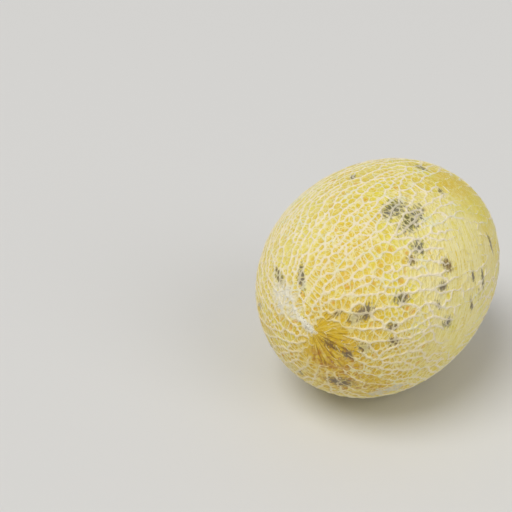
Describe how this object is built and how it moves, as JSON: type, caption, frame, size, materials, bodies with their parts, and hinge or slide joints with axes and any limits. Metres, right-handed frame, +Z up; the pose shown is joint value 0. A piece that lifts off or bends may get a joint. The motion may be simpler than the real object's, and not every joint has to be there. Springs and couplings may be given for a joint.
{
  "type": "netted melon",
  "caption": "Whole ovoid netted melon with a yellow rind and raised cork net, lying on its side on a small flat spot; fresh fruit for display or for stacking.",
  "frame": {"origin": "on the resting surface, under the middle of the fruit's box", "axes": "+Z up from the resting spot, +Y along the fruit from the blossom end to the stem end, +X to the right seen from the blossom end"},
  "size_m": [0.14, 0.189, 0.1388],
  "materials": {
    "rind": "satin yellow rind under a raised pale cork net"
  },
  "bodies": {
    "root": {"melon": "rind"}
  },
  "joints": []
}
